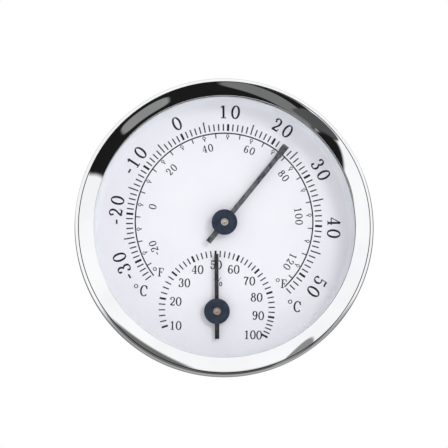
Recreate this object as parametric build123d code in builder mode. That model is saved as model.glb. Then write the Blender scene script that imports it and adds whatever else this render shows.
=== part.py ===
"""Round wall thermometer and hygrometer with two pointer movements behind one dial.

Millimetres. The dial faces -Y, twelve o'clock is +Z, and the origin is the centre of the
flat back that lies against the wall. A "depth" is a distance forward from that wall face,
so a point at depth d has y = -d.
"""

from build123d import *
from math import cos, radians, sin
import os

os.makedirs("parts", exist_ok=True)

# ---------------------------------------------------------------- driving dimensions
# Bezel, seen from the front
bezel_radius = 36.0
shoulder_width = 1.0
shoulder_radius = 2.2
shoulder_turn = 52.0
lip_radius = 31.45
bezel_wall = 1.55
bezel_skirt = 5.2
bezel_lip_thickness = 2.1
face_drop = 1.75
face_bulge = 0.16
crease_width = 0.15
crease_depth = 0.75
crest_fillet = 0.08

# Case and what is stacked in it, from the wall forward
case_wall = 1.4
case_step = 0.6
case_edge_fillet = 0.5
press_gap = 0.05
seat_gap = 0.1
cover_thickness = 1.6
rear_room = 11.0
dial_thickness = 0.5
spacer_height = 4.1
lens_thickness = 1.4
seal_thickness = 0.3
ledge_width = 1.8
ledge_height = 1.2
spacer_wall_at_dial = 2.5
spacer_land = 0.6
spacer_setback = 0.05
seal_setback = 0.2

# Rear cover
boss_radius = 2.1
boss_count = 4
boss_clearance = 0.4
boss_web = 1.6
screw_radius = 0.9
screw_head_radius = 1.8
screw_length = 7.0
screw_hole_gap = 0.2
screw_slot_width = 0.5
screw_slot_depth = 0.5
screw_slot_share = 0.65
screw_sink = 0.1
keyhole_height = 21.5
keyhole_head_radius = 3.6
keyhole_slot_radius = 1.75
keyhole_rise = 4.5
access_radius = 2.2
vent_length = 12.0
vent_width = 1.6
vent_pitch = 4.0
vent_rows = 7
vent_offset = 16.0

# Where the two pointers turn, above the centre of the case
temperature_pivot = 1.4
humidity_pivot = -20.2

# Movement pieces that both instruments share
arbor_radius = 0.9
running_gap = 0.05
dimple_radius = 0.4
dimple_depth = 0.25
bushing_barrel_radius = 1.6
bushing_flange_radius = 2.6
bushing_flange = 0.8
bushing_rivet = 0.3
bushing_rivet_radius = 2.1
frame_thickness = 0.8
frame_width = 6.0
frame_bend = 0.4
frame_nose = 3.2
frame_nose_fillet = 2.4
rear_leg_depth = 4.6
adjuster_stem_radius = 2.0
adjuster_head_radius = 2.9
adjuster_head = 1.0
adjuster_stub = 0.2
adjuster_slot_width = 0.8
adjuster_slot_depth = 0.55
arm_thickness = 0.6
arm_width = 3.4
arm_overhang = 0.9
arm_eye = 1.0
coil_side_gap = 0.65
collet_radius = 2.0
collet_overlap = 0.2
coil_seat_gap = 0.02
anchor_width = 1.3
anchor_height = 1.4
hub_radius = 3.1
hub_thickness = 0.6
hub_fillet = 0.15
arbor_stub = 0.4
arbor_chamfer = 0.15
pointer_thickness = 0.25
pointer_eye_radius = 1.9

# Temperature movement
temperature_coil_step = 0.62
temperature_coil_halves = 9
temperature_coil_thickness = 0.25
temperature_coil_width = 3.2
temperature_web = 9.8
temperature_pointer_clearance = 1.8
temperature_reading_angle = 34.2
temperature_pointer_length = 23.9
temperature_pointer_width = 1.2
temperature_tip_length = 3.4
temperature_tip_width = 1.45
temperature_tail_length = 6.2
temperature_tail_width = 1.35

# Humidity movement
humidity_coil_step = 0.72
humidity_coil_halves = 7
humidity_coil_thickness = 0.3
humidity_coil_width = 3.2
humidity_web = 8.6
humidity_pointer_clearance = 1.0
humidity_reading_angle = -5.3
humidity_pointer_length = 13.9
humidity_pointer_width = 0.95
humidity_tip_length = 2.0
humidity_tip_width = 1.0
humidity_tail_length = 6.65
humidity_tail_width = 1.05

# ---------------------------------------------------------------- sizes that follow
face_radius = bezel_radius - shoulder_width
shoulder_rise = shoulder_radius * sin(radians(shoulder_turn))
shoulder_run = shoulder_radius * (1 - cos(radians(shoulder_turn)))
shoulder_half_rise = shoulder_radius * sin(radians(shoulder_turn / 2))
shoulder_half_run = shoulder_radius * (1 - cos(radians(shoulder_turn / 2)))
case_radius = bezel_radius - bezel_wall - press_gap
case_bore = case_radius - case_wall
seat_radius = case_bore - seat_gap
dial_back = cover_thickness + rear_room
dial_front = dial_back + dial_thickness
lens_back = dial_front + spacer_height
lens_front = lens_back + lens_thickness
case_front = lens_front + seal_thickness
overall_depth = case_front + bezel_lip_thickness
bezel_rim = overall_depth - face_drop
shoulder_back = bezel_rim - shoulder_rise - crease_width
bezel_back = case_front - bezel_skirt
boss_circle = case_bore - boss_radius - boss_clearance
boss_reach = case_bore + case_wall / 2 - boss_circle
front_leg_back = dial_back - frame_thickness
arbor_back = rear_leg_depth + 2 * running_gap
arm_back = rear_leg_depth + frame_thickness + running_gap
arm_front = arm_back + arm_thickness
coil_back = arm_front + coil_side_gap


# ---------------------------------------------------------------- helpers
def front_plane(depth, height=0.0, turn=0.0):
    """A plane facing the viewer, centred on a height and turned clockwise, in degrees."""
    across = (cos(radians(turn)), 0, -sin(radians(turn)))
    return Plane(origin=(0, -depth, height), x_dir=across, z_dir=(0, -1, 0))


def side_plane(height=0.0):
    """A plane for turned profiles: local x is the radius and local y is the depth."""
    return Plane(origin=(0, 0, height), x_dir=(1, 0, 0), z_dir=(0, 0, -1))


def pivot_axis(height=0.0):
    return Axis((0, 0, height), (0, 1, 0))


def turned(points, height=0.0):
    """Turn a closed profile of (radius, depth) points about the pivot at this height."""
    with BuildSketch(side_plane(height)) as profile:
        with BuildLine():
            Polyline(*points, close=True)
        make_face()
    revolve(profile.sketch, axis=pivot_axis(height))


def tube_profile(inner, outer, back, front):
    return [(inner, back), (outer, back), (outer, front), (inner, front)]


def save(piece, name):
    piece.part.label = name
    export_step(piece.part, f"parts/{name}.step")


# ---------------------------------------------------------------- case and glazing
# The bezel's face slopes back from its inner crest to a fine crease, then a round shoulder.
with BuildPart() as bezel_ring:
    with BuildSketch(side_plane()):
        with BuildLine():
            Polyline(
                (lip_radius, overall_depth - crest_fillet),
                (lip_radius, case_front),
                (case_radius + press_gap, case_front),
                (case_radius + press_gap, bezel_back),
                (bezel_radius, bezel_back),
                (bezel_radius, shoulder_back),
            )
            shoulder = ThreePointArc(
                (bezel_radius, shoulder_back),
                (bezel_radius - shoulder_half_run, shoulder_back + shoulder_half_rise),
                (bezel_radius - shoulder_run, shoulder_back + shoulder_rise),
            )
            Polyline(
                shoulder @ 1,
                (bezel_radius - shoulder_run, bezel_rim - crease_depth),
                (face_radius, bezel_rim - crease_depth),
                (face_radius, bezel_rim),
            )
            slope = ThreePointArc(
                (face_radius, bezel_rim),
                (
                    (face_radius + lip_radius + crest_fillet) / 2,
                    (bezel_rim + overall_depth) / 2 + face_bulge,
                ),
                (lip_radius + crest_fillet, overall_depth),
            )
            Line(slope @ 1, (lip_radius, overall_depth - crest_fillet))
        make_face()
    revolve(axis=pivot_axis())
save(bezel_ring, "bezel_ring")

with BuildPart() as lens:
    with BuildSketch(front_plane(lens_back)):
        Circle(seat_radius)
    extrude(amount=lens_thickness)
save(lens, "lens")

with BuildPart() as lens_seal:
    turned(tube_profile(lip_radius + seal_setback, seat_radius, lens_front, case_front))
save(lens_seal, "lens_seal")

# The white ring that holds the lens off the dial: its inner wall leans in towards the dial.
with BuildPart() as spacer_ring:
    turned(
        [
            (seat_radius - spacer_wall_at_dial, dial_front),
            (seat_radius, dial_front),
            (seat_radius, lens_back),
            (lip_radius + spacer_setback, lens_back),
            (lip_radius + spacer_setback, lens_back - spacer_land),
            (seat_radius - spacer_wall_at_dial, dial_front + spacer_land / 2),
        ]
    )
save(spacer_ring, "spacer_ring")

with BuildPart() as dial_plate:
    with BuildSketch(front_plane(dial_back)):
        Circle(seat_radius)
        with Locations((0, temperature_pivot), (0, humidity_pivot)):
            Circle(bushing_barrel_radius, mode=Mode.SUBTRACT)
    extrude(amount=dial_thickness)
save(dial_plate, "dial_plate")

# An open tube, stepped down where the bezel slips over it, with a ledge for the dial and
# screw bosses joined to its wall.
with BuildPart() as case_body:
    turned(
        [
            (case_bore, 0),
            (case_radius + case_step, 0),
            (case_radius + case_step, bezel_back),
            (case_radius, bezel_back),
            (case_radius, case_front),
            (case_bore, case_front),
        ]
    )
    fillet(case_body.edges().group_by(Axis.Y)[-1].sort_by(SortBy.RADIUS)[-1], case_edge_fillet)
    turned(
        [
            (case_bore - ledge_width, dial_back),
            (case_bore - ledge_width, dial_back - ledge_height),
            (case_bore, dial_back - ledge_height - ledge_width),
            (case_bore + case_wall / 2, dial_back - ledge_height),
            (case_bore + case_wall / 2, dial_back),
        ]
    )
    with BuildSketch(front_plane(cover_thickness)):
        with PolarLocations(boss_circle, boss_count, start_angle=180 / boss_count):
            Circle(boss_radius)
            with Locations((boss_reach / 2, 0)):
                Rectangle(boss_reach, boss_web)
    extrude(amount=rear_room - ledge_height)
    with BuildSketch(front_plane(cover_thickness)):
        with PolarLocations(boss_circle, boss_count, start_angle=180 / boss_count):
            Circle(screw_radius)
    extrude(amount=screw_length, mode=Mode.SUBTRACT)
save(case_body, "case_body")

# ---------------------------------------------------------------- rear cover
with BuildPart() as rear_cover:
    with BuildSketch(front_plane(0)):
        Circle(case_bore - press_gap)
        with Locations((0, temperature_pivot), (0, humidity_pivot)):
            Circle(access_radius, mode=Mode.SUBTRACT)
        with Locations((0, keyhole_height)):
            Circle(keyhole_head_radius, mode=Mode.SUBTRACT)
        with Locations((0, keyhole_height + keyhole_rise / 2)):
            SlotCenterToCenter(
                keyhole_rise, 2 * keyhole_slot_radius, rotation=90, mode=Mode.SUBTRACT
            )
        with Locations((-vent_offset, 0), (vent_offset, 0)):
            with GridLocations(0, vent_pitch, 1, vent_rows):
                SlotOverall(vent_length, vent_width, mode=Mode.SUBTRACT)
    extrude(amount=cover_thickness)
    with Locations(Plane(origin=(0, 0, 0), x_dir=(-1, 0, 0), z_dir=(0, 1, 0))):
        with PolarLocations(boss_circle, boss_count, start_angle=180 / boss_count):
            CounterSinkHole(screw_radius + screw_hole_gap, screw_head_radius + screw_hole_gap)
save(rear_cover, "rear_cover")

# One countersunk screw with a cross slot, copied round the cover.
head_height = screw_head_radius - screw_radius
slot_length = 2 * screw_slot_share * screw_head_radius
with BuildPart() as cover_screw:
    with BuildSketch(side_plane()):
        with BuildLine():
            Polyline(
                (boss_circle, screw_sink),
                (boss_circle + screw_head_radius, screw_sink),
                (boss_circle + screw_radius, screw_sink + head_height),
                (boss_circle + screw_radius, screw_length),
                (boss_circle, screw_length + screw_radius / 2),
                close=True,
            )
        make_face()
    revolve(axis=Axis((boss_circle, 0, 0), (0, 1, 0)))
    with BuildSketch(front_plane(screw_sink)):
        with Locations((boss_circle, 0)):
            Rectangle(slot_length, screw_slot_width)
            Rectangle(screw_slot_width, slot_length)
    extrude(amount=screw_slot_depth, mode=Mode.SUBTRACT)
with BuildPart() as cover_screws:
    for number in range(boss_count):
        turn = (number + 0.5) * 360 / boss_count
        add(cover_screw.part.rotate(Axis.Y, turn))
save(cover_screws, "cover_screws")


# ---------------------------------------------------------------- pointer movements
def coil_path(inner_radius, step, halves, shift):
    """A flat spiral of half circles, each one step larger, about two centres in turn."""
    for number in range(halves):
        centre = (0, 0) if number % 2 == 0 else (step, 0)
        CenterArc(centre, inner_radius + number * step + shift, 180 * (number % 2), 180)


def movement(prefix, pivot, coil_step, halves, ribbon, coil_width, web):
    """Everything behind the dial for one instrument, from its bushing to its adjuster."""
    inner_radius = collet_radius + coil_seat_gap + ribbon / 2
    outer_radius = inner_radius + (halves - 1) * coil_step
    coil_front = coil_back + coil_width

    # A strip folded to a C: the bushing rivets its front leg behind the dial.
    with BuildPart() as frame:
        with BuildSketch(side_plane(pivot)):
            with BuildLine():
                Polyline(
                    (-frame_nose, dial_back),
                    (web + frame_thickness, dial_back),
                    (web + frame_thickness, rear_leg_depth),
                    (-frame_nose, rear_leg_depth),
                    (-frame_nose, rear_leg_depth + frame_thickness),
                    (web, rear_leg_depth + frame_thickness),
                    (web, front_leg_back),
                    (-frame_nose, front_leg_back),
                    close=True,
                )
            make_face()
        extrude(amount=frame_width / 2, both=True)
        bends = frame.edges().filter_by(Axis.Z).group_by(Axis.X)
        fillet(bends[-1], frame_bend + frame_thickness)
        fillet(bends[-2], frame_bend)
        with BuildSketch(front_plane(front_leg_back, pivot)):
            Circle(bushing_barrel_radius)
        extrude(amount=frame_thickness, mode=Mode.SUBTRACT)
        with BuildSketch(front_plane(rear_leg_depth, pivot)):
            Circle(adjuster_stem_radius + running_gap)
        extrude(amount=frame_thickness, mode=Mode.SUBTRACT)
        noses = frame.edges().filter_by(Axis.Y).group_by(Axis.X)[0]
        fillet(noses, frame_nose_fillet)
    save(frame, f"{prefix}_frame")

    with BuildPart() as bushing:
        turned(
            [
                (arbor_radius + running_gap, front_leg_back - bushing_flange),
                (bushing_flange_radius, front_leg_back - bushing_flange),
                (bushing_flange_radius, front_leg_back),
                (bushing_barrel_radius, front_leg_back),
                (bushing_barrel_radius, dial_front),
                (bushing_rivet_radius, dial_front),
                (bushing_barrel_radius, dial_front + bushing_rivet),
                (arbor_radius + running_gap, dial_front + bushing_rivet),
            ],
            pivot,
        )
    save(bushing, f"{prefix}_bushing")

    # A stud that turns stiffly in the rear leg and is the arbor's rear bearing.
    with BuildPart() as adjuster:
        head_front = rear_leg_depth - running_gap
        stem_front = arm_front + adjuster_stub
        turned(
            [
                (0, head_front - adjuster_head),
                (adjuster_head_radius, head_front - adjuster_head),
                (adjuster_head_radius, head_front),
                (adjuster_stem_radius, head_front),
                (adjuster_stem_radius, stem_front),
                (arbor_radius + running_gap, stem_front),
                (arbor_radius + running_gap, arbor_back - running_gap),
                (0, arbor_back - running_gap),
            ],
            pivot,
        )
        with BuildSketch(front_plane(head_front - adjuster_head, pivot)):
            Rectangle(2 * adjuster_head_radius, adjuster_slot_width)
        extrude(amount=adjuster_slot_depth, mode=Mode.SUBTRACT)
    save(adjuster, f"{prefix}_adjuster")

    # The arm on the stud and the upright post that grips the coil's outer end.
    with BuildPart() as anchor:
        with BuildSketch(front_plane(arm_back, pivot)):
            Circle(adjuster_stem_radius + arm_eye)
            with Locations((-(outer_radius + arm_overhang) / 2, 0)):
                Rectangle(outer_radius + arm_overhang, arm_width)
            Circle(adjuster_stem_radius, mode=Mode.SUBTRACT)
        extrude(amount=arm_thickness)
        with BuildSketch(front_plane(arm_front, pivot)):
            with Locations((-outer_radius, -anchor_height / 2)):
                Rectangle(anchor_width, anchor_height)
        extrude(amount=coil_side_gap + coil_width)
    save(anchor, f"{prefix}_coil_anchor")

    with BuildPart() as coil:
        with BuildSketch(front_plane(coil_back, pivot)):
            with BuildLine():
                coil_path(inner_radius, coil_step, halves, ribbon / 2)
                coil_path(inner_radius, coil_step, halves, -ribbon / 2)
                Line((inner_radius - ribbon / 2, 0), (inner_radius + ribbon / 2, 0))
                Line((-outer_radius - ribbon / 2, 0), (-outer_radius + ribbon / 2, 0))
            make_face()
        extrude(amount=coil_width)
    save(coil, f"{prefix}_coil")

    with BuildPart() as collet:
        turned(
            tube_profile(
                arbor_radius, collet_radius, coil_back - collet_overlap, coil_front + collet_overlap
            ),
            pivot,
        )
    save(collet, f"{prefix}_collet")


def pointer_set(prefix, pivot, clearance, reading, blade, tip, tail):
    """Arbor, pointer and hub; blade, tip and tail are (length, width) pairs."""
    pointer_back = dial_front + clearance
    hub_back = pointer_back + pointer_thickness
    hub_front = hub_back + hub_thickness
    arbor_front = hub_front + arbor_stub

    with BuildPart() as arbor:
        turned(
            [
                (0, arbor_back),
                (arbor_radius, arbor_back),
                (arbor_radius, arbor_front - arbor_chamfer),
                (arbor_radius - arbor_chamfer, arbor_front),
                (dimple_radius, arbor_front),
                (0, arbor_front - dimple_depth),
            ],
            pivot,
        )
    save(arbor, f"{prefix}_arbor")

    with BuildPart() as pointer:
        with BuildSketch(front_plane(pointer_back, pivot, reading)):
            Circle(pointer_eye_radius)
            with Locations((0, blade[0] / 2)):
                Rectangle(blade[1], blade[0])
            with Locations((0, blade[0] - tip[0] / 2)):
                Rectangle(tip[1], tip[0])
            with Locations((0, -tail[0] / 2)):
                Rectangle(tail[1], tail[0])
            Circle(arbor_radius, mode=Mode.SUBTRACT)
        extrude(amount=pointer_thickness)
    save(pointer, f"{prefix}_pointer")

    with BuildPart() as hub:
        with BuildSketch(front_plane(hub_back, pivot)):
            Circle(hub_radius)
            Circle(arbor_radius, mode=Mode.SUBTRACT)
        extrude(amount=hub_thickness)
        front_edges = hub.edges().group_by(Axis.Y)[0].sort_by(SortBy.RADIUS)
        fillet(front_edges[-1], hub_fillet)
    save(hub, f"{prefix}_hub")


movement(
    "temperature",
    temperature_pivot,
    temperature_coil_step,
    temperature_coil_halves,
    temperature_coil_thickness,
    temperature_coil_width,
    temperature_web,
)
pointer_set(
    "temperature",
    temperature_pivot,
    temperature_pointer_clearance,
    temperature_reading_angle,
    (temperature_pointer_length, temperature_pointer_width),
    (temperature_tip_length, temperature_tip_width),
    (temperature_tail_length, temperature_tail_width),
)
movement(
    "humidity",
    humidity_pivot,
    humidity_coil_step,
    humidity_coil_halves,
    humidity_coil_thickness,
    humidity_coil_width,
    humidity_web,
)
pointer_set(
    "humidity",
    humidity_pivot,
    humidity_pointer_clearance,
    humidity_reading_angle,
    (humidity_pointer_length, humidity_pointer_width),
    (humidity_tip_length, humidity_tip_width),
    (humidity_tail_length, humidity_tail_width),
)
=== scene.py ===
# %% [markdown]
# # A round wall thermometer and hygrometer
# The instrument has a chrome bezel, a clear lens, a white dial with two scales, and two black
# pointers that turn on coil movements behind the dial. The imported solids give every place and
# size, so this lesson starts with them and works outwards: camera and light first, then the
# turned rings, the printed scales, and last the finishes.

# %% Load the imported frame
from math import atan2, cos, degrees, hypot, pi, radians, sin, sqrt

import bpy
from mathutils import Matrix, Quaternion, Vector


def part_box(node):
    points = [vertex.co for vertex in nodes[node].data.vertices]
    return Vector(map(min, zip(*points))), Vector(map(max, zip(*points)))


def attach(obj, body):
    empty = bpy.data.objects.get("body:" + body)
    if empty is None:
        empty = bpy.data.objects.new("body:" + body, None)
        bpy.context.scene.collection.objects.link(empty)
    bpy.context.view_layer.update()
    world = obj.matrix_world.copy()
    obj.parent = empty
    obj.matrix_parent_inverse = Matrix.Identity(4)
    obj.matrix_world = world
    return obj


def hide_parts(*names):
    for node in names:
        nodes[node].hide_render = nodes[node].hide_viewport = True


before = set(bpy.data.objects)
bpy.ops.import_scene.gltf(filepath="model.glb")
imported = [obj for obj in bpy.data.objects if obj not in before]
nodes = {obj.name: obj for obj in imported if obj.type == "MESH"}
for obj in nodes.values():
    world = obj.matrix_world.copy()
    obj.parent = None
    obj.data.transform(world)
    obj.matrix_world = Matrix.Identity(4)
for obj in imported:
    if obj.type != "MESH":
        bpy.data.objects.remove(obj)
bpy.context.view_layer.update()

# %% [markdown]
# ## Units and places
# Blender works in metres and the drawing of this instrument in millimetres, so one helper turns
# millimetres into metres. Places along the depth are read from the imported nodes: a node's
# front is its lowest y, because the dial faces -Y. The two pivots are read the same way.

# %% Read the main places
def mm(value):
    return value / 1000


def front_of(node):
    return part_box(node)[0].y


def height_of(node):
    low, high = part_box(node)
    return (low.z + high.z) / 2


dial_face = front_of("dial_plate")
temperature_height = height_of("temperature_hub")
humidity_height = height_of("humidity_hub")
print("dial face at", round(dial_face * 1000, 2), "mm")
print("pivots at", round(temperature_height * 1000, 2), round(humidity_height * 1000, 2), "mm")

# %% [markdown]
# ## The camera
# The instrument is looked at almost squarely, from a little below and a little to the left,
# through a long lens, so its rings stay nearly round. It hangs slightly askew, turned clockwise
# by a few degrees, and rolling the camera the other way shows that without moving the object.

# %% Place the camera
view_azimuth, view_elevation, view_roll = -1.6, -4.7, 4.8
view_distance, lens_length, film_width = 0.80, 267.8, 36.0
aim_right, aim_up = -mm(0.14), mm(0.61)
bezel_rim = Vector((0.0, -mm(19.25), 0.0))
a, e = radians(view_azimuth), radians(view_elevation)
back = Vector((sin(a) * cos(e), -cos(a) * cos(e), sin(e)))
turn = (-back).to_track_quat("-Z", "Y") @ Quaternion((0, 0, 1), radians(view_roll))
aim = bezel_rim + turn @ Vector((aim_right, aim_up, 0))

bpy.ops.object.select_all(action="DESELECT")
bpy.ops.object.camera_add(location=aim + back * view_distance)
camera = bpy.context.object
camera.name = "viewing_camera"
camera.rotation_mode = "QUATERNION"
camera.rotation_quaternion = turn
camera.data.sensor_width = film_width
camera.data.lens = lens_length
camera.data.clip_start, camera.data.clip_end = 0.01, 50.0
bpy.context.scene.camera = camera
print("camera at", [round(v, 4) for v in camera.location])

# %% [markdown]
# ## Studio surroundings
# Polished chrome has no look of its own: it shows the room. A plain white room would leave it
# blank, so the surroundings are built as a studio would do it, with white all round, a dark
# ceiling piece and a few grey cards near the top, and a dimmer floor behind. Mirror rays see
# those cards, while every other surface gets soft light from all sides, a touch more from the
# right.

# %% Start the surroundings
world = bpy.data.worlds.new("studio")
bpy.context.scene.world = world
world.use_nodes = True
room = world.node_tree
room.nodes.clear()


def room_math(operation, first, second=None, third=None):
    """One Math node of the room; each input is a number or another node's output."""
    node = room.nodes.new("ShaderNodeMath")
    node.operation = operation
    for socket, value in zip(node.inputs, (first, second, third)):
        if value is None:
            continue
        if isinstance(value, (int, float)):
            socket.default_value = value
        else:
            room.links.new(value, socket)
    return node.outputs[0]


looked_at = room.nodes.new("ShaderNodeTexCoord")
parts = room.nodes.new("ShaderNodeSeparateXYZ")
room.links.new(looked_at.outputs["Generated"], parts.inputs[0])
right, ahead, up = parts.outputs
to_degrees = 180 / pi
around = room_math("MULTIPLY", room_math("ARCTAN2", right, up), to_degrees)
below = room_math("MULTIPLY", room_math("ARCTAN2", right, room_math("MULTIPLY", up, -1.0)), to_degrees)
away = room_math("MULTIPLY", room_math("ARCCOSINE", room_math("MULTIPLY", ahead, -1.0)), to_degrees)
print("room nodes so far", len(room.nodes))

# %% [markdown]
# Each card is a soft-edged oval or rounded rectangle. It is placed by its angle round the dial
# and its angle away from the line of sight, which keeps the whole room in one node tree.

# %% Cards of the room
all_round = 4000  # so wide in degrees that its sides are never met


def card(shade, angle, centre, half, level, squareness, slant=0.0, tip=0.0, edge=0.15):
    """Lay a soft-edged card of one grey level over the shades so far, and return the result."""
    sideways = room_math("ADD", angle, -centre[0])
    outwards = room_math("ADD", away, -centre[1])
    leaning = room_math("MULTIPLY_ADD", outwards, slant, sideways)
    dipping = room_math("MULTIPLY_ADD", sideways, tip, outwards)
    shares = []
    for distance, reach in ((leaning, half[0]), (dipping, half[1])):
        share = room_math("MULTIPLY", room_math("ABSOLUTE", distance), 1 / reach)
        shares.append(room_math("POWER", share, squareness))
    total = room_math("ADD", *shares)
    cover = room.nodes.new("ShaderNodeMapRange")
    cover.interpolation_type = "SMOOTHSTEP"
    cover.inputs["From Min"].default_value = 1 + edge
    cover.inputs["From Max"].default_value = 1 - edge
    room.links.new(total, cover.inputs["Value"])
    mixed = room.nodes.new("ShaderNodeMix")
    mixed.data_type = "FLOAT"
    room.links.new(cover.outputs["Result"], mixed.inputs["Factor"])
    mixed.inputs["B"].default_value = level
    if isinstance(shade, (int, float)):
        mixed.inputs["A"].default_value = shade
    else:
        room.links.new(shade, mixed.inputs["A"])
    return mixed.outputs["Result"]


# Each card: angle it is placed by, its centre and half size (round the dial, away from the line
# of sight) in degrees, its grey level, how square it is, and how it leans or fades.
cards = (
    # dark ceiling, window patch, grey panel, side panel, its dark neighbour and that one's foot
    (around, (-15.6, 53), (51.3, 25.5), 0.011, 10, {"slant": 0.1, "edge": 0.25}),
    (around, (-35.6, 59.6), (11.3, 11.2), 0.27, 4, {"edge": 0.35}),
    (around, (15.0, 60.5), (19.5, 12), 0.18, 2.4, {"tip": 0.72, "edge": 0.2}),
    (around, (35.0, 63), (9, 14), 0.085, 4, {"slant": -0.22, "edge": 0.25}),
    (around, (45.5, 38), (10.5, 29), 0.011, 1.4, {"edge": 0.2}),
    (around, (59, 38), (10, 5), 0.03, 2.0, {"edge": 0.3}),
    # grey floor behind and below, deepest next to the rim, with two lobes
    (below, (9, 130), (60, 58), 0.40, 4, {"edge": 0.4}),
    (below, (0, 86), (52, 17), 0.09, 3, {"edge": 0.5}),
    (below, (37.5, 78), (7.5, 22), 0.28, 2, {"slant": 0.35, "edge": 0.2}),
    (below, (-27, 78), (23, 20), 0.16, 2, {"edge": 0.3}),
    # dark edges of the room at both sides, dim behind the viewer and behind the object
    (around, (93, 165), (38, 38), 0.07, 3, {"edge": 0.3}),
    (around, (-115, 165), (34, 36), 0.16, 3, {"edge": 0.3}),
    (around, (0, 0), (all_round, 24), 0.2, 2, {"edge": 0.5}),
    (around, (0, 180), (all_round, 30), 0.25, 2, {"edge": 0.6}),
)
shade = 1.0
for angle, centre, half, level, squareness, manner in cards:
    shade = card(shade, angle, centre, half, level, squareness, **manner)
print("room nodes with its cards", len(room.nodes))

# %% [markdown]
# The camera sees plain white behind the object. One soft lamp near the front adds a little
# direction, and a wide floor well below the object stays out of every reflection.

# %% Finish the surroundings and set the lamp and the floor
even_level, more_from_right = 0.90, 0.10
rays = room.nodes.new("ShaderNodeLightPath")
even = room_math("MULTIPLY_ADD", right, more_from_right, even_level)
seen = room.nodes.new("ShaderNodeMix")
seen.data_type = "FLOAT"
room.links.new(rays.outputs["Is Glossy Ray"], seen.inputs["Factor"])
room.links.new(even, seen.inputs["A"])
room.links.new(shade, seen.inputs["B"])
plain = room.nodes.new("ShaderNodeMix")
plain.data_type = "FLOAT"
room.links.new(rays.outputs["Is Camera Ray"], plain.inputs["Factor"])
room.links.new(seen.outputs["Result"], plain.inputs["A"])
plain.inputs["B"].default_value = 1.0
sky = room.nodes.new("ShaderNodeBackground")
sky.inputs["Color"].default_value = (1, 1, 1, 1)
room.links.new(plain.outputs["Result"], sky.inputs["Strength"])
finished = room.nodes.new("ShaderNodeOutputWorld")
room.links.new(sky.outputs[0], finished.inputs["Surface"])
bpy.context.scene.view_settings.view_transform = "Standard"

lamp_place, lamp_power, lamp_size = (0.35, -0.70, 0.30), 1.6, 0.22
floor_size, floor_height = 16, -0.125
bpy.ops.object.light_add(type="AREA", location=lamp_place)
soft_box = bpy.context.object
soft_box.name = "soft_box"
soft_box.data.energy = lamp_power
soft_box.data.size = lamp_size
soft_box.rotation_mode = "QUATERNION"
soft_box.rotation_quaternion = (soft_box.location - bezel_rim).to_track_quat("Z", "Y")
soft_box.visible_glossy = False

bpy.ops.object.select_all(action="DESELECT")
bpy.ops.mesh.primitive_plane_add(size=floor_size, location=(0, 0, floor_height))
floor = bpy.context.object
floor.name = "studio_floor"
floor.visible_glossy = False
print("light", soft_box.data.energy, "W, floor at", floor.location.z)

# %% [markdown]
# ## Turning a ring
# Most of this instrument is made on a lathe or pressed round: bezel, case, spacer and seal. A
# lathe shape is one circle walked along a profile: the circle is extruded to each next depth and
# scaled to each next radius, and the last ring is welded to the first. Spinning a flat profile
# gives the same form, but walking the circle keeps the rings exactly round and the order of the
# points is the order in which a turner would cut them.

# %% A lathe helper
def turn_ring(name, profile, height=0.0, around_count=256):
    """Walk a circle along (radius, depth) points in millimetres and weld its ends."""
    bpy.ops.object.select_all(action="DESELECT")
    radius, depth = profile[0]
    bpy.ops.mesh.primitive_circle_add(
        vertices=around_count, radius=mm(radius), location=(0, -mm(depth), height),
        rotation=(pi / 2, 0, 0)
    )
    ring = bpy.context.object
    ring.name = name
    ring.data.name = name
    bpy.ops.object.transform_apply(location=True, rotation=True, scale=True)
    bpy.ops.object.mode_set(mode="EDIT")
    bpy.ops.mesh.select_all(action="SELECT")
    for (r0, d0), (r1, d1) in zip(profile, profile[1:] + profile[:1]):
        bpy.ops.mesh.extrude_region_move(TRANSFORM_OT_translate={"value": (0, -mm(d1 - d0), 0)})
        grow = r1 / r0
        bpy.ops.transform.resize(value=(grow, 1, grow), center_override=(0, 0, height))
    bpy.ops.mesh.select_all(action="SELECT")
    bpy.ops.mesh.remove_doubles(threshold=1e-6)
    bpy.ops.mesh.normals_make_consistent(inside=False)
    bpy.ops.object.mode_set(mode="OBJECT")
    bpy.ops.object.shade_smooth_by_angle(angle=radians(28))
    low, high = [Vector(c) for c in (ring.bound_box[0], ring.bound_box[6])]
    print(name, "faces", len(ring.data.polygons), "size mm", [round(1000 * v, 2) for v in high - low])
    return ring


def arc_between(centre, radius, start, end, steps):
    """Points on an arc in the profile, angles in degrees from the outward direction."""
    angles = [radians(start + (end - start) * i / steps) for i in range(steps + 1)]
    return [(centre[0] + radius * cos(t), centre[1] + radius * sin(t)) for t in angles]


def arc_through(first, middle, last, steps):
    """Points on the arc through three points of the profile."""
    (ax, ay), (bx, by), (cx, cy) = first, middle, last
    d = 2 * (ax * (by - cy) + bx * (cy - ay) + cx * (ay - by))
    ux = ((ax**2 + ay**2) * (by - cy) + (bx**2 + by**2) * (cy - ay) + (cx**2 + cy**2) * (ay - by)) / d
    uy = ((ax**2 + ay**2) * (cx - bx) + (bx**2 + by**2) * (ax - cx) + (cx**2 + cy**2) * (bx - ax)) / d
    start, end = atan2(ay - uy, ax - ux), atan2(cy - uy, cx - ux)
    return arc_between((ux, uy), hypot(ax - ux, ay - uy), degrees(start), degrees(end), steps)
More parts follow.
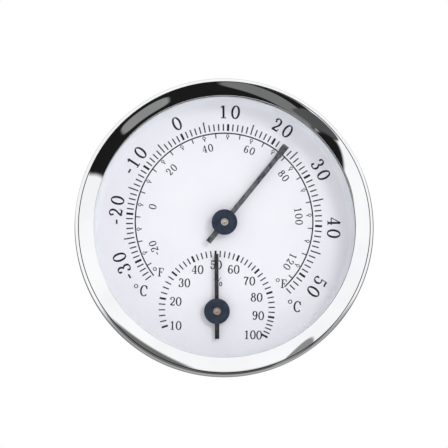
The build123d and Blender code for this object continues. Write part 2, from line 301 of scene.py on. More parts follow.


# %% [markdown]
# ## The bezel
# The real bezel is pressed from thin metal or moulded, then chromed. From the centre outwards it
# has a sharp crest, a slightly domed face that falls away towards the rim, a fine gap, and a round
# shoulder that turns down into the skirt. The gap and the wall inside the lip are coloured near
# black as painted shade, for the shade that falls in them. Mirror finish shows every flat, so the
# ring gets many segments and its edges are rounded with several short steps.

# %% Turn the bezel
rim, socket, lip = 36.0, 34.45, 31.45
face_edge, face_outer = 34.95, 19.25
crest, gap_floor, lip_back, skirt_back = 21.0, 18.5, 18.9, 13.7
shoulder_radius, shoulder_start, shoulder_turn = 2.2, 17.366, 52
face_middle = (33.25, 20.285)
face = arc_through((face_edge, face_outer), face_middle, (lip + 0.09, crest - 0.01), 16)
crest_round = [(lip + 0.055, crest), (lip + 0.02, crest - 0.015), (lip, crest - 0.06)]
shoulder = arc_between((rim - shoulder_radius, shoulder_start), shoulder_radius, 0, shoulder_turn, 14)
shoulder_edge = shoulder[-1][0]
bezel_profile = (
    [(lip, lip_back), (socket, lip_back), (socket, skirt_back), (rim - 0.15, skirt_back)]
    + [(rim - 0.04, skirt_back + 0.04), (rim, skirt_back + 0.15)]
    + shoulder
    + [(shoulder_edge, gap_floor), (face_edge, gap_floor)]
    + face
    + crest_round
)
bezel = turn_ring("bezel_chrome", bezel_profile)
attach(bezel, "case")
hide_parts("bezel_ring")


def is_dark(place):
    """True for the centre of a face in the fine gap or on the wall inside the lip; these get painted
    shade.
    """
    radius, depth = hypot(place.x, place.z) * 1000, -place.y * 1000
    in_gap = face_edge - 0.02 < radius < shoulder_edge + 0.01 and gap_floor - 0.05 < depth < 18.95
    return in_gap or radius < lip + 0.005


painted_shade_faces = [polygon for polygon in bezel.data.polygons if is_dark(polygon.center)]
print("faces in the fine gap and on the lip wall", len(painted_shade_faces))

# %% [markdown]
# ## The white ring between dial and lens
# Seen through the lens, the dial seems to roll up to the bezel: the ring that holds the lens off
# the dial has a hollow inner wall that starts level with the dial and rises in one soft curve. A
# quarter of an oval gives that wall, and the ring is turned like the bezel.

# %% Turn the spacer
spacer_outer, foot, mouth = 32.9, 30.2, 31.5
spacer_back, spacer_front, cove_top, cove_depth = 13.1, 17.2, 16.62, 3.46
cove = [
    (foot + (mouth - foot) * sin(radians(t)), cove_top - cove_depth * cos(radians(t)))
    for t in range(90, -1, -6)
]
outside = [(spacer_outer, spacer_back), (spacer_outer, spacer_front), (mouth, spacer_front)]
spacer = turn_ring("spacer_cove", outside + cove + [(foot, spacer_back)])
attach(spacer, "case")
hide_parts("spacer_ring")

# %% [markdown]
# ## Printing the dial
# The scales are screen printed: flat black ink a few hundredths of a millimetre thick. The
# figures are in an old-style face with heavy uprights, fine level strokes and small balls at the
# ends. Each mark is drawn with one pen: a curve whose width changes along the stroke, flattened
# into a film of ink. A font would be quicker, but the built-in one has no serifs, and the pen
# also draws every tick, ring and arc with the same ink edge.

# %% The pen
ink_height = mm(0.03)
print_offset = (-mm(0.03), mm(0.09))
em_heavy, em_fine = 0.155, 0.08


def oval(cx, cy, rx, ry, start, end, steps=14):
    """Points on an oval, in degrees anticlockwise from the right."""
    turns = [radians(start + (end - start) * i / steps) for i in range(steps + 1)]
    return [(cx + rx * cos(t), cy + ry * sin(t)) for t in turns]


def smooth_run(points, steps=4):
    """More points on a soft line through a few points."""
    out = []
    ends = [points[0]] + points + [points[-1]]
    for p0, p1, p2, p3 in zip(ends, ends[1:], ends[2:], ends[3:]):
        for i in range(steps):
            t = i / steps
            out.append(
                tuple(
                    0.5 * (2 * q1 + (q2 - q0) * t + (2 * q0 - 5 * q1 + 4 * q2 - q3) * t * t
                           + (3 * q1 - q0 - 3 * q2 + q3) * t**3)
                    for q0, q1, q2, q3 in zip(p0, p1, p2, p3)
                )
            )
    return out + [points[-1]]


def stroke(points, closed=False, heavy=em_heavy, fine=em_fine):
    """A pen stroke: (x, y, half width), broad where it runs upright and fine where it is level."""
    count, drawn = len(points), []
    for i, (x, y) in enumerate(points):
        if closed:
            before, after = points[i - 1], points[(i + 1) % count]
        else:
            before, after = points[max(i - 1, 0)], points[min(i + 1, count - 1)]
        dx, dy = after[0] - before[0], after[1] - before[1]
        upright = abs(dy) / max(hypot(dx, dy), 1e-9)
        drawn.append((x, y, (fine + (heavy - fine) * upright**1.6) / 2))
    return drawn, closed


def ball(x, y, r):
    """The round end of a stroke, as a very short stroke that swells and shrinks."""
    steps = (-1, -0.8, -0.4, 0, 0.4, 0.8, 1)
    return [(x + r * t, y, r * sqrt(max(1 - t * t, 0.02))) for t in steps], False


print("ink height mm", ink_height * 1000)

# %% [markdown]
# ## Figures and letters
# Every character is a short list of strokes in a box one unit high and 0.6 wide. The nine is the
# six turned upside down, as type cutters often made it.

# %% Draw the characters
bar = em_heavy * 0.85
six = [
    stroke(oval(0.31, 0.29, 0.205, 0.255, 0, 345, 22), True),
    stroke(oval(0.38, 0.40, 0.295, 0.56, 70, 190)),
    ball(0.465, 0.84, 0.068),
]
characters = {
    "0": [stroke(oval(0.30, 0.5, 0.25, 0.465, 0, 348, 28), True)],
    "1": [
        stroke([(0.31, 0.03), (0.31, 0.5), (0.31, 0.95)]),
        stroke([(0.31, 0.95), (0.22, 0.85), (0.12, 0.82)]),
        stroke([(0.12, 0.035), (0.50, 0.035)], fine=0.07),
    ],
    "2": [
        stroke(
            oval(0.295, 0.715, 0.21, 0.25, 165, 0, 10)
            + smooth_run([(0.50, 0.66), (0.43, 0.48), (0.27, 0.30), (0.10, 0.09)])
        ),
        stroke([(0.08, 0.085), (0.25, 0.10), (0.42, 0.065), (0.52, 0.09)], heavy=bar, fine=bar),
        stroke([(0.50, 0.07), (0.545, 0.25)], heavy=0.06),
        ball(0.145, 0.71, 0.075),
    ],
    "3": [
        stroke(oval(0.285, 0.745, 0.185, 0.22, 160, -88, 14)),
        stroke(oval(0.275, 0.285, 0.235, 0.25, 86, -160, 16)),
        ball(0.135, 0.79, 0.070),
        ball(0.105, 0.235, 0.078),
    ],
    "4": [
        stroke([(0.40, 0.97), (0.22, 0.64), (0.03, 0.28)], heavy=0.065),
        stroke([(0.03, 0.28), (0.57, 0.28)]),
        stroke([(0.41, 0.03), (0.41, 0.5), (0.41, 0.95)]),
        stroke([(0.24, 0.035), (0.57, 0.035)], fine=0.07),
    ],
    "5": [
        stroke([(0.13, 0.93), (0.30, 0.90), (0.50, 0.94)], heavy=bar, fine=bar),
        stroke([(0.135, 0.95), (0.125, 0.50)], heavy=0.062),
        stroke(oval(0.285, 0.31, 0.235, 0.275, 128, -155, 18)),
        ball(0.115, 0.225, 0.075),
    ],
    "6": six,
    "7": [
        stroke([(0.08, 0.90), (0.25, 0.93), (0.40, 0.87), (0.54, 0.92)], heavy=bar, fine=bar),
        stroke([(0.085, 0.97), (0.07, 0.74)], heavy=0.065),
        stroke(smooth_run([(0.53, 0.90), (0.38, 0.62), (0.28, 0.34), (0.27, 0.04)])),
    ],
    "8": [
        stroke(oval(0.30, 0.745, 0.17, 0.215, 0, 345, 22), True),
        stroke(oval(0.30, 0.275, 0.225, 0.245, 0, 345, 22), True),
    ],
    "9": [([(0.6 - x, 1 - y, w) for x, y, w in points], closed) for points, closed in six],
    "-": [stroke([(0.14, 0.40), (0.46, 0.40)], fine=0.13, heavy=0.13)],
    "C": [
        stroke(oval(0.36, 0.5, 0.29, 0.465, 42, 318, 22)),
        stroke([(0.60, 0.64), (0.60, 0.96)], heavy=0.06),
        stroke([(0.57, 0.80), (0.615, 0.68)], heavy=0.12),
    ],
    "F": [
        stroke([(0.19, 0.03), (0.19, 0.97)]),
        stroke([(0.04, 0.955), (0.60, 0.955)], fine=0.08),
        stroke([(0.585, 0.97), (0.595, 0.72)], heavy=0.09),
        stroke([(0.19, 0.51), (0.44, 0.51)], fine=0.07),
        stroke([(0.44, 0.64), (0.44, 0.38)], heavy=0.075),
        stroke([(0.04, 0.04), (0.36, 0.04)], fine=0.08),
    ],
    "%": [
        stroke(oval(0.13, 0.73, 0.125, 0.215, 0, 340, 18), True, heavy=0.10),
        stroke(oval(0.69, 0.26, 0.125, 0.215, 0, 340, 18), True, heavy=0.10),
        stroke([(0.62, 0.98), (0.20, 0.02)], heavy=0.06),
    ],
    "o": [stroke(oval(0.5, 0.5, 0.40, 0.40, 0, 340, 18), True, heavy=0.22, fine=0.18)],
}
print("characters", "".join(characters))

# %% [markdown]
# Ticks and characters are laid straight on the dial as a thin film of ink.

# %% Lay ink on the dial
def place_strokes(marks, strokes, size, x, z, lean=0.0, half=0.3):
    """Add strokes of one character, centred on (x, z) in mm and leaning clockwise in degrees."""
    c, s = cos(radians(lean)), sin(radians(lean))
    for points, closed in strokes:
        run = []
        for px, py, width in points:
            u, v = (px - half) * size, (py - 0.5) * size
            run.append((x + u * c + v * s, z - u * s + v * c, width * size))
        marks.append((run, closed))


def dial_point(height, radius, clockwise):
    """A point at an angle clockwise from twelve o'clock round a centre on the dial, in mm."""
    t = radians(clockwise)
    return radius * sin(t), height * 1000 + radius * cos(t)


def bar_mark(marks, height, inner, outer, clockwise, width):
    (x0, z0), (x1, z1) = dial_point(height, inner, clockwise), dial_point(height, outer, clockwise)
    marks.append(([(x0, z0, width / 2), (x1, z1, width / 2)], False))


def print_marks(name, marks):
    """Turn pen strokes into one flat printed piece on the dial."""
    curve = bpy.data.curves.new(name, "CURVE")
    curve.dimensions = "3D"
    curve.bevel_depth = mm(1)
    curve.bevel_resolution = 2
    curve.use_fill_caps = True
    for run, closed in marks:
        line = curve.splines.new("POLY")
        line.points.add(len(run) - 1)
        for point, (x, z, width) in zip(line.points, run):
            point.co = (mm(x), 0, mm(z), 1)
            point.radius = width
        line.use_cyclic_u = closed
    piece = bpy.data.objects.new(name, curve)
    bpy.context.collection.objects.link(piece)
    bpy.ops.object.select_all(action="DESELECT")
    bpy.context.view_layer.objects.active = piece
    piece.select_set(True)
    bpy.ops.object.convert(target="MESH")
    piece = bpy.context.object
    widest = max(abs(v.co.y) for v in piece.data.vertices)
    bpy.ops.object.mode_set(mode="EDIT")
    bpy.ops.mesh.select_all(action="SELECT")
    bpy.ops.transform.resize(value=(1, ink_height / widest, 1), center_override=(0, 0, 0))
    bpy.ops.transform.translate(value=(print_offset[0], dial_face, print_offset[1]))
    bpy.ops.mesh.normals_make_consistent(inside=False)
    bpy.ops.object.mode_set(mode="OBJECT")
    bpy.ops.object.shade_smooth_by_angle(angle=radians(40))
    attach(piece, "case")
    print(name, "marks", len(marks), "faces", len(piece.data.polygons))
    return piece


# %% [markdown]
# ## The temperature scale
# A fine arc carries both scales: Celsius ticks stand outside it, longer every five degrees and
# broader every ten, and Fahrenheit ticks hang inside it with a small drop at every ten. The
# steps widen slightly towards the warm end, as the coil's movement does, so the angle of each
# ten degrees is listed and the degrees between are shared out evenly.

# %% Celsius and Fahrenheit angles
tens = [-119.7, -90.2, -60.1, -31.0, -2.4, 26.7, 56.5, 87.8, 119.6]


def celsius_angle(value):
    """Degrees clockwise from twelve o'clock for a Celsius value."""
    step = (value + 30) / 10
    i = min(max(int(step // 1), 0), len(tens) - 2)
    return tens[i] + (tens[i + 1] - tens[i]) * (step - i)


def fahrenheit_angle(value):
    return celsius_angle((value - 32) / 1.8)


pivot = temperature_height
ring = pivot + mm(0.2)
arc_radius, tick_foot, tick_end, five_end = 21.5, 22.06, 23.73, 24.62
ticks = []
for value in range(-34, 55):
    outer = five_end if value % 10 == 5 else tick_end
    width = 0.55 if value % 10 == 0 else 0.31
    bar_mark(ticks, ring, tick_foot, outer, celsius_angle(value), width)
temperature_ticks = print_marks("temperature_ticks", ticks)

inner_end, drop_radius, drop_size = 20.3, 20.6, 1.3
drop_line = smooth_run([(0.5, 0.98), (0.24, 0.70), (0.5, 0.36), (0.76, 0.70)], 3)
drop = [stroke(drop_line, True, 0.15, 0.12), stroke([(0.5, 0.42), (0.5, 0.02)], heavy=0.2)]
inner_ticks = []
for value in range(-25, 126, 10):
    bar_mark(inner_ticks, ring, inner_end, arc_radius, fahrenheit_angle(value), 0.26)
for value in range(-20, 121, 10):
    angle = fahrenheit_angle(value)
    x, z = dial_point(ring, drop_radius, angle)
    place_strokes(inner_ticks, drop, drop_size, x, z, angle, 0.5)
fahrenheit_ticks = print_marks("fahrenheit_ticks", inner_ticks)

arc_end, arc_steps, arc_half_width = 132.5, 132, 0.16
scale_line = [
    dial_point(ring, arc_radius, arc_end * (2 * i / arc_steps - 1)) + (arc_half_width,)
    for i in range(arc_steps + 1)
]
scale_arc = print_marks("scale_arc", [(scale_line, False)])

# %% [markdown]
# ## Figures round the scale
# The Celsius figures follow the dial's curve, each one turned with its place, and the smaller
# Fahrenheit figures follow inside. A minus sign takes less room than a figure, so the numbers do
# not all sit squarely over their ticks: each one has its own small turn and its own radius.

# %% Print the curved numbers
def curved_number(marks, text, height, radius, clockwise, size, pitch):
    """Print a number along an arc, each character turned to face the centre."""
    widths = [pitch * (0.5 if c == "-" else 1.0) for c in text]
    place = -sum(widths) / 2
    for character, width in zip(text, widths):
        angle = clockwise + degrees((place + width / 2) / radius)
        place += width
        x, z = dial_point(height, radius, angle)
        place_strokes(marks, characters[character], size, x, z, angle)


# value: (turn clockwise from its tick in degrees, radius in millimetres)
celsius_places = {
    -30: (1.5, 26.67), -20: (2.1, 26.30), -10: (0.3, 26.38), 0: (0.7, 26.57), 10: (0.4, 26.95),
    20: (0.05, 27.04), 30: (-0.1, 26.80), 40: (-0.05, 26.68), 50: (0.2, 27.3),
}
celsius_size, celsius_pitch = 3.28, 2.98
figures = []
for value, (shift, radius) in celsius_places.items():
    angle = celsius_angle(value) + shift
    curved_number(figures, str(value), pivot, radius, angle, celsius_size, celsius_pitch)
temperature_figures = print_marks("temperature_figures", figures)

fahrenheit_places = {
    -20: (1.4, 18.03), 0: (1.0, 17.70), 20: (0.65, 18.03), 40: (0.9, 18.42),
    60: (0.65, 18.63), 80: (0.4, 18.40), 100: (-0.6, 18.18), 120: (-0.3, 18.60),
}
fahrenheit_size, fahrenheit_pitch = 1.85, 1.5
small_figures = []
for value, (shift, radius) in fahrenheit_places.items():
    angle = fahrenheit_angle(value) + shift
    curved_number(small_figures, str(value), pivot, radius, angle, fahrenheit_size, fahrenheit_pitch)
fahrenheit_figures = print_marks("fahrenheit_figures", small_figures)

# %% [markdown]
# ## The humidity scale
# The lower dial is a fan of ticks, one for every two per cent and a broad one for every ten,
# with upright numbers inside it. Its centre is a little above its pointer's pivot.

# %% Print the humidity scale
fan_inner, fan_outer = 12.5, 14.05
humidity_tens = [-113.7, -84.1, -55.3, -30.3, -6.1, 17.8, 42.0, 68.2, 93.9, 114.7]
fan = humidity_height + mm(0.6)
ticks = []
for value in range(10, 101, 2):
    i = min((value - 10) // 10, 8)
    share = (value - 10) / 10 - i
    angle = humidity_tens[i] + (humidity_tens[i + 1] - humidity_tens[i]) * share
    bar_mark(ticks, fan, fan_inner, fan_outer, angle, 0.5 if value % 10 == 0 else 0.3)
humidity_ticks = print_marks("humidity_ticks", ticks)


def straight_number(marks, text, x, z, size, pitch, lean):
    """Print a number on one straight line."""
    c, s = cos(radians(lean)), sin(radians(lean))
    for i, character in enumerate(text):
        along = (i - (len(text) - 1) / 2) * pitch
        place_strokes(marks, characters[character], size, x + along * c, z - along * s, lean)


def on_dial(across, down):
    """A printed place in mm from the upper pivot, on axes that lean with the upright numbers."""
    c, s = cos(radians(axes_lean)), sin(radians(axes_lean))
    return across * c + down * s, pivot * 1000 + across * s - down * c


axes_lean, number_lean, number_size, number_pitch = 4.6, -3.0, 2.15, 1.5
number_places = {
    10: (-11.64, 25.01), 20: (-11.66, 19.2), 30: (-9.57, 14.7), 40: (-6.39, 11.45),
    50: (-1.94, 10.28), 60: (2.33, 11.37), 70: (6.12, 14.17), 80: (7.9, 18.1),
    90: (8.29, 22.53), 100: (7.05, 27.19),
}
figures = []
for value, (across, down) in number_places.items():
    x, z = on_dial(across, down)
    straight_number(figures, str(value), x, z, number_size, number_pitch, number_lean)
humidity_figures = print_marks("humidity_figures", figures)

# %% [markdown]
# A small ring and a letter name each temperature scale, at both ends, and the percent sign
# names the humidity scale.

# %% Print the unit marks
units = []
for text, (degree_x, degree_y), degree_size, (letter_x, letter_y), size in (
    ("C", (-21.19, 15.55), 1.05, (-19.42, 16.65), 2.7),
    ("C", (16.04, 19.13), 1.05, (17.67, 20.29), 2.7),
    ("F", (-16.69, 11.4), 0.95, (-15.31, 12.15), 2.15),
    ("F", (13.03, 13.92), 0.95, (14.41, 14.78), 2.15),
):
    x, z = on_dial(degree_x, degree_y)
    place_strokes(units, characters["o"], degree_size, x, z, half=0.5)
    x, z = on_dial(letter_x, letter_y)
    place_strokes(units, characters[text], size, x, z)
x, z = on_dial(-1.36, 14.36)
place_strokes(units, characters["%"], 2.2, x, z, half=0.41)
unit_marks = print_marks("unit_marks", units)

# %% [markdown]
# ## Finishes
# A finish is built from the shader outwards: its even values are set on the shader's own
# sockets, and noise read in object space varies colour, roughness and the fine relief, so that
# nothing is perfectly uniform. Object space is used because every piece has its place in its
# mesh, and the grain then stays at its real size on every part.

# %% Helpers for finishes
def new_finish(name, colour, metallic=0.0, roughness=0.5, specular=0.5):
    """A Principled finish with its even values set on the shader itself."""
    finish = bpy.data.materials.new(name)
    finish.use_nodes = True
    shader = finish.node_tree.nodes["Principled BSDF"]
    shader.inputs["Base Color"].default_value = (*colour, 1)
    shader.inputs["Metallic"].default_value = metallic
    shader.inputs["Roughness"].default_value = roughness
    shader.inputs["Specular IOR Level"].default_value = specular
    return finish, shader


def grain(finish, scale, detail=3.0, stretch=(1, 1, 1), centre=(0, 0, 0)):
    """Noise read in object space, stretched along an axis or moved to a centre."""
    tree = finish.node_tree
    place = tree.nodes.new("ShaderNodeTexCoord")
    mapping = tree.nodes.new("ShaderNodeMapping")
    mapping.inputs["Scale"].default_value = stretch
    mapping.inputs["Location"].default_value = tuple(-c * s for c, s in zip(centre, stretch))
    noise = tree.nodes.new("ShaderNodeTexNoise")
    noise.inputs["Scale"].default_value = scale
    noise.inputs["Detail"].default_value = detail
    tree.links.new(place.outputs["Object"], mapping.inputs["Vector"])
    tree.links.new(mapping.outputs["Vector"], noise.inputs["Vector"])
    return noise.outputs["Fac"]


def turning_lines(finish, height, scale):
    """Noise that runs in circles round a pivot, as a lathe tool leaves it."""
    tree = finish.node_tree
    place = tree.nodes.new("ShaderNodeTexCoord")
    mapping = tree.nodes.new("ShaderNodeMapping")
    mapping.inputs["Location"].default_value = (0, 0, -height)
    split = tree.nodes.new("ShaderNodeSeparateXYZ")
    flat = tree.nodes.new("ShaderNodeCombineXYZ")
    length = tree.nodes.new("ShaderNodeVectorMath")
    length.operation = "LENGTH"
    tree.links.new(place.outputs["Object"], mapping.inputs["Vector"])
    tree.links.new(mapping.outputs["Vector"], split.inputs[0])
    tree.links.new(split.outputs["X"], flat.inputs["X"])
    tree.links.new(split.outputs["Z"], flat.inputs["Z"])
    tree.links.new(flat.outputs[0], length.inputs[0])
    rings = tree.nodes.new("ShaderNodeCombineXYZ")
    tree.links.new(length.outputs["Value"], rings.inputs["X"])
    tree.links.new(split.outputs["Y"], rings.inputs["Y"])
    noise = tree.nodes.new("ShaderNodeTexNoise")
    noise.inputs["Scale"].default_value = scale
    noise.inputs["Detail"].default_value = 2.0
    tree.links.new(rings.outputs[0], noise.inputs["Vector"])
    return noise.outputs["Fac"]


def colours_from(finish, shader, value, dark, light, low=0.35, high=0.65):
    """Colour the shader between two tones by a grain."""
    ramp = finish.node_tree.nodes.new("ShaderNodeValToRGB")
    ramp.color_ramp.elements[0].position = low
    ramp.color_ramp.elements[0].color = (*dark, 1)
    ramp.color_ramp.elements[1].position = high
    ramp.color_ramp.elements[1].color = (*light, 1)
    finish.node_tree.links.new(value, ramp.inputs["Fac"])
    finish.node_tree.links.new(ramp.outputs["Color"], shader.inputs["Base Color"])


def roughness_from(finish, shader, value, smooth, rough):
    """Let the gloss vary between two roughnesses."""
    spread = finish.node_tree.nodes.new("ShaderNodeMapRange")
    spread.inputs["From Min"].default_value = 0.3
    spread.inputs["From Max"].default_value = 0.7
    spread.inputs["To Min"].default_value = smooth
    spread.inputs["To Max"].default_value = rough
    finish.node_tree.links.new(value, spread.inputs["Value"])
    finish.node_tree.links.new(spread.outputs["Result"], shader.inputs["Roughness"])


def relief_from(finish, shader, value, depth, strength=0.5):
    """Raise the surface a little by a grain; depth is in millimetres."""
    relief = finish.node_tree.nodes.new("ShaderNodeBump")
    relief.inputs["Distance"].default_value = mm(depth)
    relief.inputs["Strength"].default_value = strength
    finish.node_tree.links.new(value, relief.inputs["Height"])
    finish.node_tree.links.new(relief.outputs["Normal"], shader.inputs["Normal"])


def wear(finish, *pieces):
    """Give one finish to pieces or, by name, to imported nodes."""
    for piece in pieces:
        target = nodes[piece] if isinstance(piece, str) else piece
        target.data.materials.clear()
        target.data.materials.append(finish)
    print(finish.name, "on", [p if isinstance(p, str) else p.name for p in pieces])


# %% [markdown]
# ## Chrome, rubber and clear lens
# Chrome is nearly colourless and very smooth. Hairline scratches from wiping run round the ring,
# so its roughness varies along fine circles. The lens is a flat clear disc: almost all of what it
# does is a faint reflection at a slant, so it mixes a see-through shader with a mirror by angle,
# and only on the side a ray enters by, since light is not bent inside so simple a disc.

# %% Chrome and lens finishes
chrome, shader = new_finish("polished_chrome", (0.93, 0.935, 0.95), 1.0, 0.03)
colours_from(chrome, shader, grain(chrome, 90, 2), (0.89, 0.895, 0.91), (0.95, 0.955, 0.965))
roughness_from(chrome, shader, turning_lines(chrome, 0.0, 2600), 0.012, 0.05)
relief_from(chrome, shader, grain(chrome, 160, 1), 0.004, 0.35)
wear(chrome, bezel)

# Painted shade: the faces in the fine gap and on the wall inside the lip get this near-black colour
# for the shade that falls there.
gap, shader = new_finish("painted_shade_gap", (0.05, 0.05, 0.055), 0.0, 0.6, 0.3)
colours_from(gap, shader, grain(gap, 1500, 3), (0.02, 0.02, 0.024), (0.09, 0.09, 0.1))
relief_from(gap, shader, grain(gap, 2500, 2), 0.01, 0.4)
bezel.data.materials.append(gap)
for painted_shade_face in painted_shade_faces:
    painted_shade_face.material_index = 1

rubber, shader = new_finish("grey_seal_rubber", (0.55, 0.56, 0.58), 0.0, 0.7, 0.3)
colours_from(rubber, shader, grain(rubber, 900, 4), (0.48, 0.49, 0.51), (0.60, 0.61, 0.63))
relief_from(rubber, shader, grain(rubber, 2500, 3), 0.02, 0.4)
wear(rubber, "lens_seal")

clear = bpy.data.materials.new("clear_lens_plastic")
clear.use_nodes = True
tree = clear.node_tree
tree.nodes.remove(tree.nodes["Principled BSDF"])
through = tree.nodes.new("ShaderNodeBsdfTransparent")
through.inputs["Color"].default_value = (0.985, 0.99, 0.992, 1)
mirror = tree.nodes.new("ShaderNodeBsdfGlossy")
mirror.inputs["Color"].default_value = (0.97, 0.98, 1.0, 1)
dust = tree.nodes.new("ShaderNodeMapRange")
dust.inputs["To Min"].default_value = 0.01
dust.inputs["To Max"].default_value = 0.09
tree.links.new(grain(clear, 700, 5), dust.inputs["Value"])
tree.links.new(dust.outputs["Result"], mirror.inputs["Roughness"])
slant = tree.nodes.new("ShaderNodeFresnel")
slant.inputs["IOR"].default_value = 1.38
side = tree.nodes.new("ShaderNodeNewGeometry")
entering = tree.nodes.new("ShaderNodeMath")
entering.operation = "SUBTRACT"
entering.inputs[0].default_value = 1.0
tree.links.new(side.outputs["Backfacing"], entering.inputs[1])
share = tree.nodes.new("ShaderNodeMath")
share.operation = "MULTIPLY"
tree.links.new(slant.outputs["Fac"], share.inputs[0])
tree.links.new(entering.outputs[0], share.inputs[1])
both = tree.nodes.new("ShaderNodeMixShader")
tree.links.new(share.outputs[0], both.inputs["Fac"])
tree.links.new(through.outputs[0], both.inputs[1])
tree.links.new(mirror.outputs[0], both.inputs[2])
tree.links.new(both.outputs[0], tree.nodes["Material Output"].inputs["Surface"])
wear(clear, "lens")

# %% [markdown]
# ## White paint, white plastic and ink
# The dial is painted sheet with a faint orange-peel skin and a cool white tone. The spacer is
# moulded plastic, a little glossier. The ink is a dense black that lies in a thin matt film and
# lets the paint through in tiny specks.

# %% Dial finishes
paint, shader = new_finish("white_dial_paint", (0.88, 0.885, 0.93), 0.0, 0.5, 0.25)
colours_from(paint, shader, grain(paint, 120, 3), (0.872, 0.852, 0.905), (0.894, 0.872, 0.922))
roughness_from(paint, shader, grain(paint, 2400, 2), 0.42, 0.6)
relief_from(paint, shader, grain(paint, 1800, 2), 0.012, 0.25)
wear(paint, "dial_plate")

moulded, shader = new_finish("white_moulded_plastic", (0.94, 0.945, 0.965), 0.0, 0.4, 0.4)
colours_from(moulded, shader, grain(moulded, 200, 3), (0.83, 0.835, 0.875), (0.87, 0.875, 0.91))
roughness_from(moulded, shader, grain(moulded, 1500, 2), 0.3, 0.5)
relief_from(moulded, shader, grain(moulded, 900, 2), 0.01, 0.3)
wear(moulded, spacer)

ink, shader = new_finish("black_scale_ink", (0.012, 0.012, 0.016), 0.0, 0.6, 0.2)
colours_from(ink, shader, grain(ink, 5200, 4), (0.008, 0.008, 0.012), (0.035, 0.035, 0.042), 0.4, 0.85)
roughness_from(ink, shader, grain(ink, 3000, 2), 0.5, 0.75)
relief_from(ink, shader, grain(ink, 4000, 2), 0.006, 0.4)
wear(
    ink, temperature_ticks, fahrenheit_ticks, scale_arc, temperature_figures, fahrenheit_figures,
    humidity_ticks, humidity_figures, unit_marks,
)

# %% [markdown]
# ## Case, rear cover and screws
# The case is drawn aluminium with fine lines round it. The rear cover is black plastic from a
# spark-eroded mould, which leaves an even fine texture. Its screws are zinc plated, with the
# slight yellow and blue tints of that plating.

# %% Case finishes
aluminium, shader = new_finish("drawn_aluminium", (0.72, 0.73, 0.75), 1.0, 0.36)
lines_round = grain(aluminium, 1.0, 3, (60, 5200, 60))
colours_from(aluminium, shader, lines_round, (0.64, 0.65, 0.67), (0.80, 0.81, 0.83))
roughness_from(aluminium, shader, grain(aluminium, 1.0, 2, (90, 3500, 90)), 0.28, 0.46)
relief_from(aluminium, shader, lines_round, 0.01, 0.35)
wear(aluminium, "case_body")

black_plastic, shader = new_finish("textured_black_plastic", (0.03, 0.03, 0.034), 0.0, 0.55, 0.4)
spark = grain(black_plastic, 2600, 3)
colours_from(black_plastic, shader, spark, (0.018, 0.018, 0.021), (0.048, 0.048, 0.053))
roughness_from(black_plastic, shader, grain(black_plastic, 600, 3), 0.45, 0.68)
relief_from(black_plastic, shader, spark, 0.035, 0.6)
wear(black_plastic, "rear_cover")

zinc, shader = new_finish("zinc_plate", (0.7, 0.7, 0.71), 1.0, 0.3)
colours_from(zinc, shader, grain(zinc, 1100, 3), (0.66, 0.68, 0.73), (0.78, 0.76, 0.70))
roughness_from(zinc, shader, grain(zinc, 3200, 3), 0.2, 0.42)
relief_from(zinc, shader, grain(zinc, 3800, 2), 0.01, 0.4)
wear(zinc, "cover_screws")

# %% [markdown]
# ## Movement finishes
# Behind the dial each instrument has a rolled steel frame, turned brass bushings, adjuster and
# collet, and its own kind of coil: a bimetal strip, grey with a warm side, or a coated metal
# strip that swells with damp. Turned pieces carry fine circles round their own pivot.

# %% Steel and coil finishes
steel, shader = new_finish("rolled_steel", (0.6, 0.6, 0.61), 1.0, 0.35)
rolled = grain(steel, 1.0, 3, (2600, 90, 90))
colours_from(steel, shader, rolled, (0.52, 0.52, 0.53), (0.68, 0.68, 0.69))
roughness_from(steel, shader, grain(steel, 500, 3), 0.26, 0.44)
relief_from(steel, shader, rolled, 0.01, 0.3)
wear(steel, "temperature_frame", "humidity_frame")

bimetal, shader = new_finish("bimetal_strip", (0.62, 0.58, 0.52), 1.0, 0.32)
drawn_lines = grain(bimetal, 1.0, 3, (150, 3000, 150))
colours_from(bimetal, shader, drawn_lines, (0.52, 0.49, 0.45), (0.72, 0.66, 0.56))
roughness_from(bimetal, shader, grain(bimetal, 900, 2), 0.24, 0.42)
relief_from(bimetal, shader, grain(bimetal, 1.0, 2, (150, 4000, 150)), 0.006, 0.3)
wear(bimetal, "temperature_coil")

coated, shader = new_finish("coated_damp_strip", (0.78, 0.66, 0.46), 0.7, 0.45)
colours_from(coated, shader, grain(coated, 800, 4), (0.70, 0.58, 0.38), (0.84, 0.73, 0.54))
roughness_from(coated, shader, grain(coated, 1500, 3), 0.38, 0.6)
relief_from(coated, shader, grain(coated, 2200, 3), 0.01, 0.4)
wear(coated, "humidity_coil")

# %% [markdown]
# The turned parts carry fine rings round their own axis, one material for each instrument.

# %% Turned brass and pin finishes
for instrument, height in (("temperature", temperature_height), ("humidity", humidity_height)):
    brass, shader = new_finish(f"turned_brass_{instrument}", (0.78, 0.62, 0.36), 1.0, 0.28)
    cut = turning_lines(brass, height, 5200)
    colours_from(brass, shader, cut, (0.70, 0.54, 0.30), (0.84, 0.69, 0.44))
    roughness_from(brass, shader, grain(brass, 900, 2), 0.2, 0.38)
    relief_from(brass, shader, cut, 0.008, 0.4)
    members = ("bushing", "adjuster", "coil_anchor", "collet")
    wear(brass, *[f"{instrument}_{member}" for member in members])

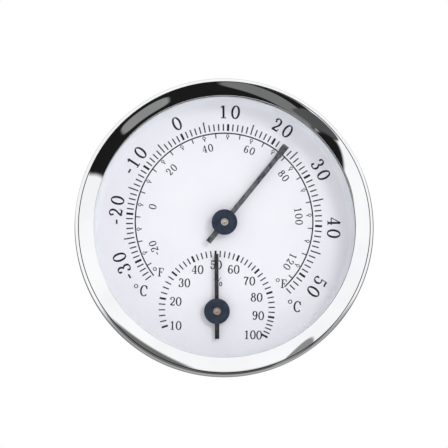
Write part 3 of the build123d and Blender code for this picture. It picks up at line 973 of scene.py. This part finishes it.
pin_tones = {
    "temperature": ((0.74, 0.68, 0.54), (0.97, 0.93, 0.82)),
    "humidity": ((0.56, 0.42, 0.35), (0.86, 0.70, 0.62)),
}
for instrument, height in (("temperature", temperature_height), ("humidity", humidity_height)):
    pin, shader = new_finish(f"turned_pin_{instrument}", (0.7, 0.55, 0.42), 1.0, 0.32)
    cut = turning_lines(pin, height, 6500)
    colours_from(pin, shader, cut, *pin_tones[instrument])
    roughness_from(pin, shader, grain(pin, 2500, 2), 0.4, 0.6)
    relief_from(pin, shader, cut, 0.01, 0.5)
    wear(pin, f"{instrument}_arbor")

# %% [markdown]
# ## Pointers and hubs
# Both pointers are stamped and painted black. The paint is thin and greys in fine specks, more
# on the upper pointer than on the lower. The hubs are moulded in a very dark blue-black.

# %% Pointer finishes
for instrument, tone in (("temperature", 1.9), ("humidity", 0.6)):
    paint, shader = new_finish(f"black_pointer_paint_{instrument}", (0.03, 0.03, 0.035), 0.0, 0.4, 0.5)
    dark, light = [
        tuple(tone * share for share in shares)
        for shares in ((0.014, 0.015, 0.018), (0.075, 0.078, 0.084))
    ]
    colours_from(paint, shader, grain(paint, 1300, 4), dark, light)
    roughness_from(paint, shader, grain(paint, 2100, 3), 0.3, 0.52)
    relief_from(paint, shader, grain(paint, 3000, 3), 0.012, 0.4)
    wear(paint, f"{instrument}_pointer")

hub_black, shader = new_finish("blue_black_hub", (0.017, 0.028, 0.052), 0.0, 0.42, 0.4)
colours_from(hub_black, shader, grain(hub_black, 900, 4), (0.012, 0.020, 0.040), (0.026, 0.040, 0.070))
roughness_from(hub_black, shader, grain(hub_black, 1500, 3), 0.34, 0.55)
relief_from(hub_black, shader, grain(hub_black, 2600, 3), 0.015, 0.4)
wear(hub_black, "temperature_hub", "humidity_hub")

# %% [markdown]
# ## The floor
# A pale painted floor lies well below the instrument. It is nearly as bright as the room, with
# only a breath of unevenness, so that it stays a calm ground in every view.

# %% Floor finish
pale, shader = new_finish("pale_floor", (0.95, 0.95, 0.955), 0.0, 0.8, 0.1)
colours_from(pale, shader, grain(pale, 3, 3), (0.94, 0.94, 0.945), (0.97, 0.97, 0.975))
shader.inputs["Emission Color"].default_value = (1, 1, 1, 1)
shader.inputs["Emission Strength"].default_value = 0.12
wear(pale, floor)

# %% [markdown]

# %% Finish
print("scene finished")
